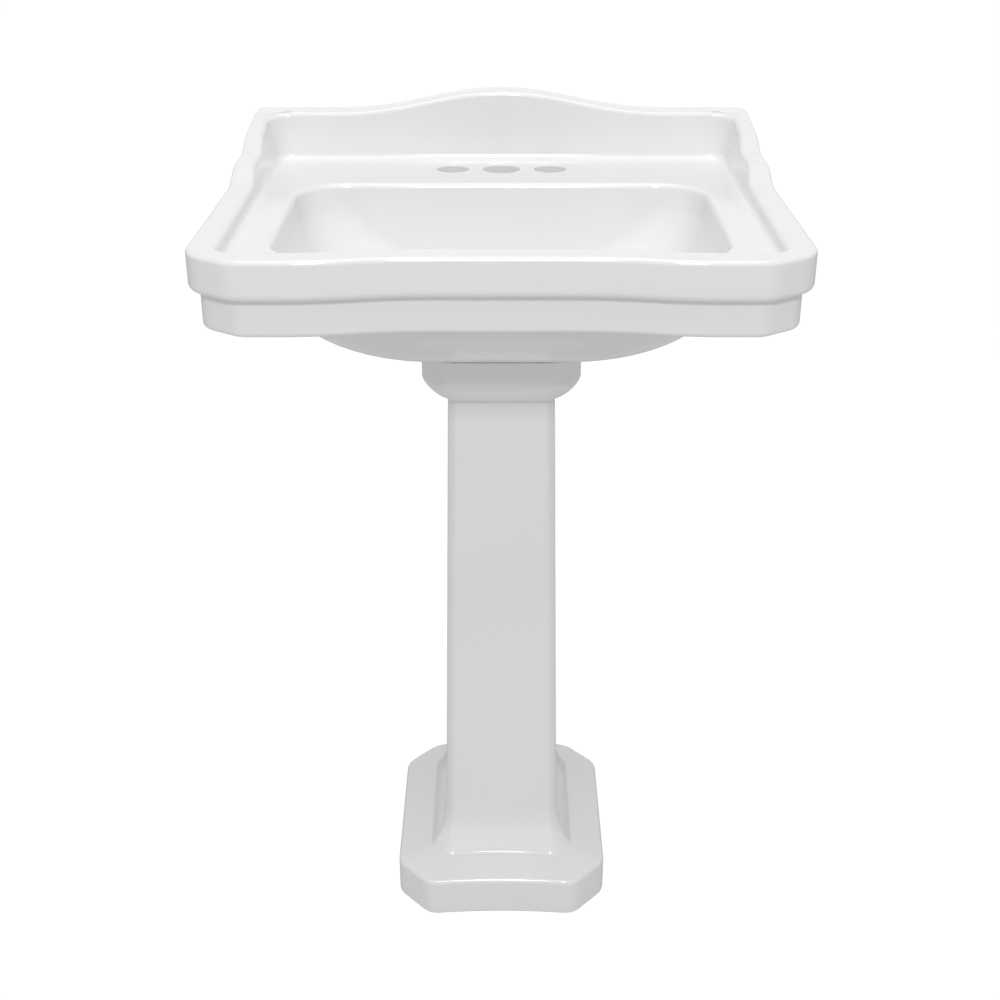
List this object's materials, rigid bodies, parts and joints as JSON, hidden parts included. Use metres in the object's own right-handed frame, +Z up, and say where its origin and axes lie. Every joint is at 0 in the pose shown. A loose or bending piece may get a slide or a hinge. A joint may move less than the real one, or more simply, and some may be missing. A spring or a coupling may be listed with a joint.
{
  "type": "pedestal basin",
  "caption": "Ceramic pedestal basin: rectangular basin with raised back, stepped side walls and a deep bowl on a slender column with a stepped plinth.",
  "frame": {"origin": "on the floor under the middle of the basin, midway from its front corners to the wall", "axes": "+Z up, +Y towards the wall behind the basin, +X to the right of somebody who faces it"},
  "size_m": [0.5346, 0.446, 0.8605],
  "materials": {
    "china": "glossy glaze",
    "chrome": "polished plating",
    "brass": "machined",
    "rubber": "matte",
    "plastic": "matte",
    "steel": "bright drawn"
  },
  "bodies": {
    "stand": {"basin": "china", "basin_gasket": "rubber", "cartridge_housing": "plastic", "cartridge_screw": "steel", "cartridge_spring": "steel", "cleanout_gasket": "rubber", "cleanout_plug": "chrome", "drain_body": "chrome", "flange_seal": "rubber", "friction_washer": "plastic", "locknut": "brass", "pedestal": "china", "seat_pads": "rubber", "tailpiece": "chrome", "trap_arm": "chrome", "trap_bend": "chrome", "trap_inlet_nut": "chrome", "trap_inlet_washer": "rubber", "trap_union_nut": "chrome", "trap_union_washer": "rubber", "wall_flange": "chrome"},
    "plug": {"plug_cap": "chrome", "plug_seal": "rubber", "plug_spindle": "brass"}
  },
  "joints": [
    {"name": "plug_slide", "type": "slide", "parent": "stand", "child": "plug", "axis": [0, 0, 1], "range_m": [0, 0.008], "deforming": ["cartridge_spring"]}
  ]
}
